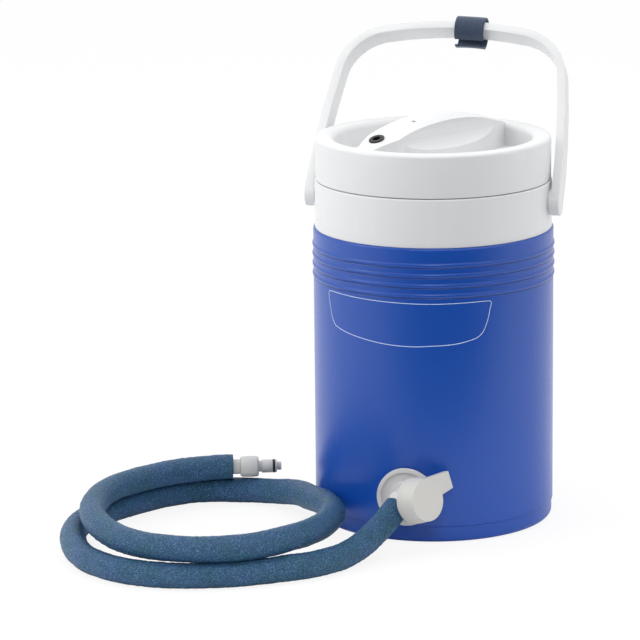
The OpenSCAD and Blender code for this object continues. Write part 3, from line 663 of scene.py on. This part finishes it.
# %% Line of the tape, in the crown's frame
TAPE_W, TAPE_T = 22.5, 1.5
PIVOT_Z, SWUNG_BACK, CROWN_DROP, CROWN_R, SLID = 240, -37, -137.42, 278.45, 2.2
CROWN_FRAME = (
    Matrix.Translation(Vector((0, 0, PIVOT_Z)) * MM)
    @ Matrix.Rotation(math.radians(SWUNG_BACK), 4, "X")
    @ Matrix.Translation(Vector((0, 0, CROWN_DROP)) * MM)
    @ Matrix.Rotation(math.radians(SLID), 4, "Y")
    @ Matrix.Translation(Vector((0, 0, CROWN_R)) * MM)
)
FRONT, UP = Vector((0, -0.914, -0.405)), Vector((0, -0.405, 0.914))
WRAP_START, WRAP_END, LOOSE_FROM, LOOSE_OVER = -52, 263, 205, 65
WRAP_R, LOOSE_RISE, LOOSE_CURL = 9.5, 3.9, 1.6
TAIL_STEP, TAIL_LIFT, WAVE, WAVES = 1.5, 0.05, 0.5, 9.0


def spiral(angle):
    """A point of the tape's middle line, in millimetres, at an angle from the front."""
    loose = max(0, (angle - LOOSE_FROM) / LOOSE_OVER)
    radius = WRAP_R + LOOSE_RISE * loose**LOOSE_CURL
    turn = math.radians(angle)
    return FRONT * math.cos(turn) * radius + UP * math.sin(turn) * radius


tape_line = [spiral(angle) for angle in range(WRAP_START, WRAP_END + 1, 5)]
end = tape_line[-1]
for step in (1, 2, 3, 4):
    tape_line.append(end + FRONT * TAIL_STEP * step + UP * TAIL_LIFT * step * step)
lengths = [0]
for before, after in zip(tape_line, tape_line[1:]):
    lengths.append(lengths[-1] + (after - before).length)
TAPE_L = lengths[-1]
print("tape: %.1f mm long, %.1f mm wide" % (TAPE_L, TAPE_W))


def along_tape(distance):
    """The point of the tape's line at a distance from its start, in millimetres."""
    for index in range(len(lengths) - 1):
        if distance <= lengths[index + 1] or index == len(lengths) - 2:
            share = (distance - lengths[index]) / (lengths[index + 1] - lengths[index])
            return tape_line[index].lerp(tape_line[index + 1], share)


# %% Grid rolled along the line
select_nothing()
bpy.ops.mesh.primitive_grid_add(x_subdivisions=20, y_subdivisions=96, size=1)
strap = bpy.context.object
for vertex in strap.data.vertices:
    across, along = vertex.co.x, vertex.co.y + 0.5
    point = along_tape(along * TAPE_L)
    wave = WAVE * math.sin(along * WAVES) * (abs(across) * 2) ** 2
    sideways = Vector((across * TAPE_W, 0, 0))
    vertex.co = CROWN_FRAME @ ((point + sideways + point.normalized() * wave) * MM)
strap = settle(strap, "handle_tape", 50)
print("tape, still without thickness:", len(strap.data.polygons), "faces")

# %% Thickness, edges and finish of the strap
apply_modifier(strap, "SOLIDIFY", thickness=TAPE_T * MM, offset=0)
point_outwards(strap)
apply_modifier(
    strap, "BEVEL", width=0.4 * MM, segments=2, limit_method="ANGLE", angle_limit=math.radians(50)
)
bpy.ops.object.shade_smooth_by_angle(angle=math.radians(50))
paint(strap, navy_tape)
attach(strap, "bail")
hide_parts("handle_strap")
print("strap faces:", len(strap.data.polygons))

# %% [markdown]
# ## Label
# The shell carries a blank label area with a thin raised outline. The outline is a round
# bead of pale ink, mostly sunk in the shell. It is drawn flat, as a closed curve through
# points given as an angle round the jug and a height, and then wrapped round the shell.

# %% Outline, drawn flat
LABEL_R, LINE_R = 88.95, 0.27
OUTLINE = [
    (-45.7, 179.6), (-44.9, 180.1), (-20, 179.6), (9.3, 178.9), (39.6, 179.2), (40.8, 178.6),
    (40.4, 174), (38.5, 162.6), (35.4, 154.6), (29, 150.7), (11, 147.8), (-1.2, 147.3),
    (-20, 149.6), (-38.5, 154.6), (-41, 156.3), (-44.6, 167.9), (-45.9, 178),
]
outline_curve = bpy.data.curves.new("label_outline", "CURVE")
outline_curve.dimensions = "3D"
outline_curve.resolution_u = 10
spline = outline_curve.splines.new("BEZIER")
spline.bezier_points.add(len(OUTLINE) - 1)
for point, (angle, height) in zip(spline.bezier_points, OUTLINE):
    point.co = Vector((math.radians(angle) * LABEL_R, 0, height)) * MM
    point.handle_left_type = point.handle_right_type = "AUTO"
spline.use_cyclic_u = True
outline_curve.bevel_depth = LINE_R * MM
outline_curve.bevel_resolution = 2
print("outline points:", len(OUTLINE))

# %% Outline, wrapped round the shell
outline = as_mesh(new_piece("label_outline", outline_curve))
for vertex in outline.data.vertices:
    turn = vertex.co.x / (LABEL_R * MM)
    radius = LABEL_R * MM - vertex.co.y
    vertex.co = (radius * math.sin(turn), -radius * math.cos(turn), vertex.co.z)
outline = settle(outline, "label_outline", 40)
pale_ink = plain_finish("screen_ink_pale_blue", "#C9D8F2", 0.5, 1.5, 0.5, 0.01)
outline.data.materials.append(pale_ink)
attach(outline, "jug")
print("label outline faces:", len(outline.data.polygons))

# %% [markdown]
# ## Thread of the neck
# Under the lid's skirt the neck carries a thread with four starts, so that the lid comes
# off in little more than a turn. Each start is a short helix that fades out at both ends.
# A curve with a round section gives that: its points come from the lead, and a point's
# radius thins the section where the thread begins and ends.

# %% Neck thread
NECK_R, LEAD, STARTS, THREAD_LOW = 80, 24, 4, 261
SWEEP, THREAD_R, THREAD_STEPS, TIP = 104, 1.5, 26, 0.15
thread_curve = bpy.data.curves.new("neck_thread", "CURVE")
thread_curve.dimensions = "3D"
for start in range(STARTS):
    spline = thread_curve.splines.new("POLY")
    spline.points.add(THREAD_STEPS)
    for step, point in enumerate(spline.points):
        share = step / THREAD_STEPS
        turn = math.radians(start * 360 / STARTS + share * SWEEP)
        rise = THREAD_LOW + LEAD * share * SWEEP / 360
        place = Vector((math.cos(turn) * NECK_R, math.sin(turn) * NECK_R, rise)) * MM
        point.co = (*place, 1)
        point.radius = min(1, TIP + 6 * min(share, 1 - share))
thread_curve.bevel_depth = THREAD_R * MM
thread_curve.bevel_resolution = 4
thread_curve.use_fill_caps = True
thread = settle(new_piece("neck_thread", thread_curve), "neck_thread", 50)
paint(thread, white_polypropylene)
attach(thread, "jug")
print("thread faces:", len(thread.data.polygons))

# %% [markdown]
# ## Light and floor
# The floor is a sheet of white paper that ends just in front of the picture's lower
# edge, so that the shell's front mirrors as little of it as it can. To the camera most
# of it glows, which keeps it white without any more light on the jug, and the rest is
# shaded, which leaves a faint shadow under the jug and the hose.

# %% Floor
FLOOR_SIZE, FLOOR_FRONT, GLOW = 10, 0.37, 0.86
azimuth = math.radians(CAMERA_SIDE)
to_camera = Vector((math.sin(azimuth), -math.cos(azimuth), 0))
bpy.ops.mesh.primitive_plane_add(
    size=FLOOR_SIZE, location=to_camera * (FLOOR_FRONT - FLOOR_SIZE / 2), rotation=(0, 0, azimuth)
)
floor = bpy.context.object
bpy.ops.object.transform_apply(location=True, rotation=True)
floor.name = "floor"
floor_paper, tree, shader = new_finish("floor_paper", "#FAFAFA", 0.9)
floor.data.materials.append(floor_paper)
path = add_node(tree, "ShaderNodeLightPath")
glow = add_node(tree, "ShaderNodeEmission", Strength=1.0)
seen = add_node(tree, "ShaderNodeMath", [(0, path, "Is Camera Ray")], operation="MULTIPLY")
seen.inputs[1].default_value = GLOW
mix = add_node(
    tree, "ShaderNodeMixShader", [(0, seen, "Value"), (1, shader, "BSDF"), (2, glow, "Emission")]
)
tree.links.new(mix.outputs["Shader"], tree.nodes["Material Output"].inputs["Surface"])
print("floor ends %.2f m in front" % FLOOR_FRONT)

# %% [markdown]
# The studio is bright all round and above, and dim on the camera's side. That is why
# the middle of the blue shell is deep and its two edges are pale: near an edge it
# mirrors the bright side. The dim side is a fixed direction in the world, so it is the
# same in every view, and the camera itself sees plain white behind the jug.

# %% World
DIM_SIDE = math.radians(25)
DIM_FROM, DIM_FULL, BRIGHT, DIM = 0.3, 0.96, 1.02, 0.1
world = bpy.data.worlds.new("studio")
scene.world = world
world.use_nodes = True
tree = world.node_tree
background = tree.nodes["Background"]
background.inputs["Color"].default_value = (1, 1, 1, 1)
ray = add_node(tree, "ShaderNodeTexCoord")
facing = add_node(
    tree, "ShaderNodeVectorMath", [(0, ray, "Generated")], operation="DOT_PRODUCT"
)
facing.inputs[1].default_value = (math.sin(DIM_SIDE), -math.cos(DIM_SIDE), 0)
level = add_node(
    tree, "ShaderNodeMapRange", [("Value", facing, "Value")], interpolation_type="SMOOTHSTEP",
    From_Min=DIM_FROM, From_Max=DIM_FULL, To_Min=BRIGHT, To_Max=DIM,
)
tree.links.new(level.outputs["Result"], background.inputs["Strength"])
white = add_node(tree, "ShaderNodeBackground", Color=(1, 1, 1, 1), Strength=1.0)
path = add_node(tree, "ShaderNodeLightPath")
mix = add_node(
    tree, "ShaderNodeMixShader",
    [(0, path, "Is Camera Ray"), (1, background, "Background"), (2, white, "Background")],
)
tree.links.new(mix.outputs["Shader"], tree.nodes["World Output"].inputs["Surface"])
print("studio: bright %.2f, dim side %.2f" % (BRIGHT, DIM))

# %% [markdown]
# Four large, weak lamps shape what the world's even light leaves flat. The key is high
# on the left, the fill opposite has about a quarter of its power, one above lifts the
# lid and the handle, and one in front keeps the white collar from going grey.

# %% Lamps


def soft_light(name, place, target, size, power):
    """An area lamp that looks at a point."""
    bpy.ops.object.light_add(type="AREA", location=place)
    lamp = bpy.context.object
    lamp.name = name
    lamp.data.shape = "RECTANGLE"
    lamp.data.size, lamp.data.size_y = size
    lamp.data.energy = power
    direction = Vector(target) - Vector(place)
    lamp.rotation_euler = direction.to_track_quat("-Z", "Y").to_euler()
    print(name, "lamp:", power, "W")


WAIST, RIM_HEIGHT = (0, 0, 0.15), (0, 0, 0.2)
soft_light("key", (-1.7, -0.9, 1.3), WAIST, (1.0, 1.4), 11.5)
soft_light("fill", (1.7, -0.9, 0.9), WAIST, (0.8, 1.2), 3.2)
soft_light("top", (0.1, 0.2, 2.0), RIM_HEIGHT, (1.6, 1.6), 10)
soft_light("front", (0.5, -2.2, 1.6), WAIST, (0.6, 0.6), 13)

# %% [markdown]
# The Standard view shows a colour as it is written.

# %% View
scene.view_settings.view_transform = "Standard"
